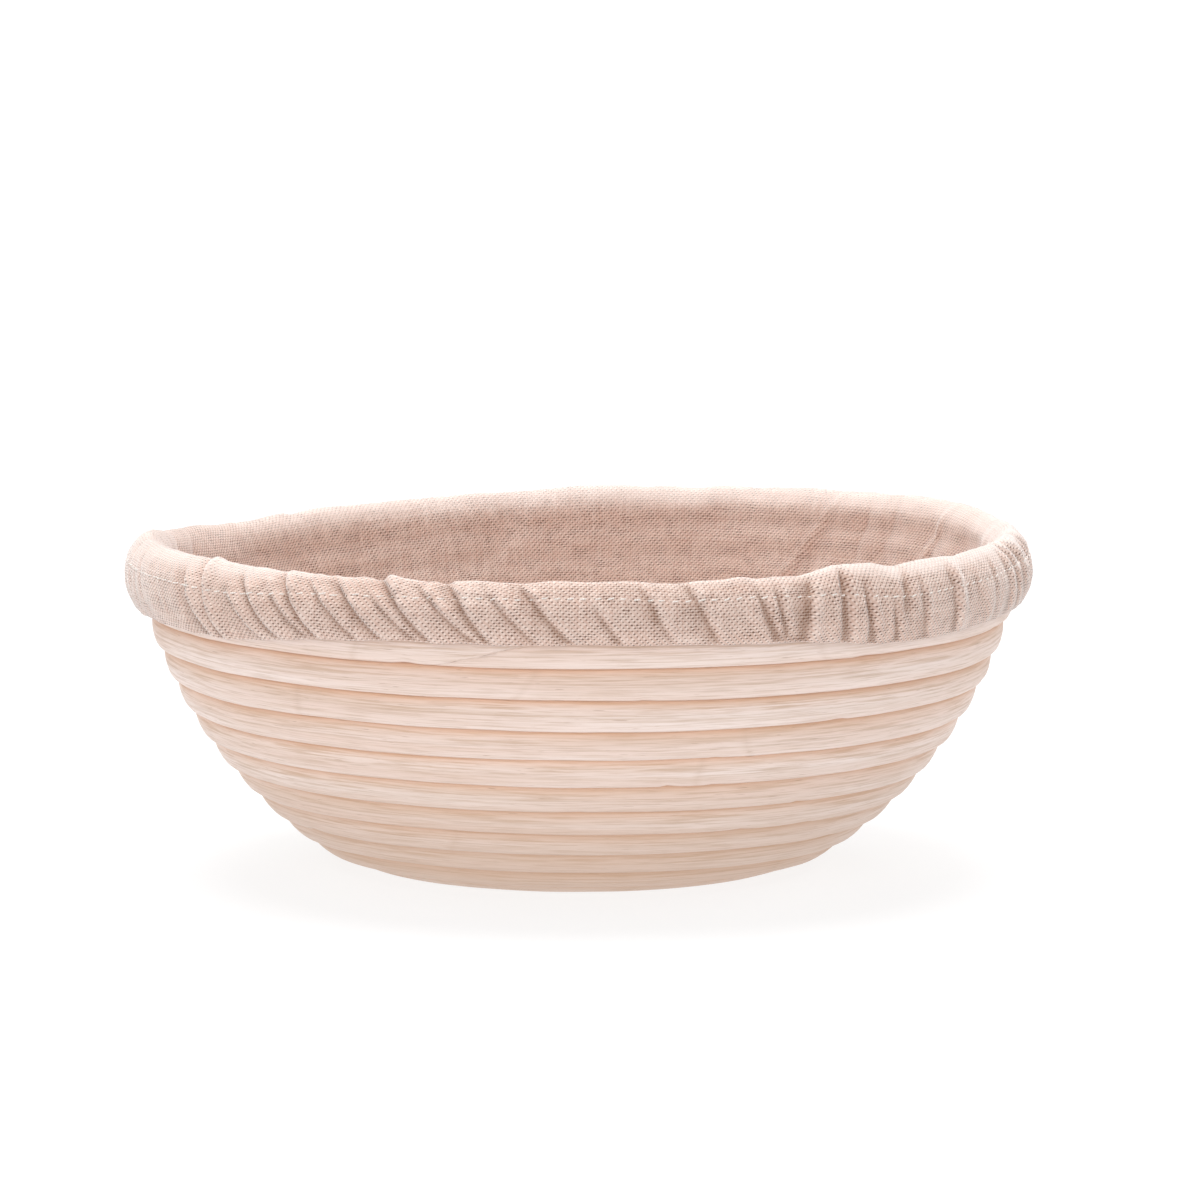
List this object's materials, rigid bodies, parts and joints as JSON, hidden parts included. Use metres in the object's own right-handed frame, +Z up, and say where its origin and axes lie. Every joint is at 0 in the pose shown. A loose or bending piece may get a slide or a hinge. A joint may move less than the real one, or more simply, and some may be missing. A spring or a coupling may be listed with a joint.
{
  "type": "proofing basket",
  "caption": "Round coiled-cane bread proofing basket with a cloth liner whose elastic hem turns down over the rim.",
  "frame": {"origin": "on the table under the centre of the basket's box", "axes": "+Z up out of the basket's mouth; -Y is the side where the turns of cane lie almost level"},
  "size_m": [0.2534, 0.2534, 0.0943],
  "materials": {
    "rattan_cane": "matt, unvarnished split cane",
    "brad_steel": "bright wire",
    "liner_cloth": "plain weave, undyed",
    "elastic_band": "woven elastic",
    "sewing_thread": "cotton thread"
  },
  "bodies": {
    "basket": {"cane_base": "rattan_cane", "cane_heel": "rattan_cane", "cane_lower": "rattan_cane", "cane_middle": "rattan_cane", "cane_upper": "rattan_cane", "cane_rim": "rattan_cane", "base_brads": "brad_steel", "wall_brads": "brad_steel", "splice_brads": "brad_steel"},
    "liner": {"liner_bowl": "liner_cloth", "liner_hem": "liner_cloth", "hem_elastic": "elastic_band", "hem_stitching": "sewing_thread"}
  },
  "joints": [
    {"name": "liner_lift", "type": "slide", "parent": "basket", "child": "liner", "axis": [0, 0, 1], "range_m": [0, 0.13], "deforming": ["liner_hem", "hem_elastic", "hem_stitching"]}
  ]
}
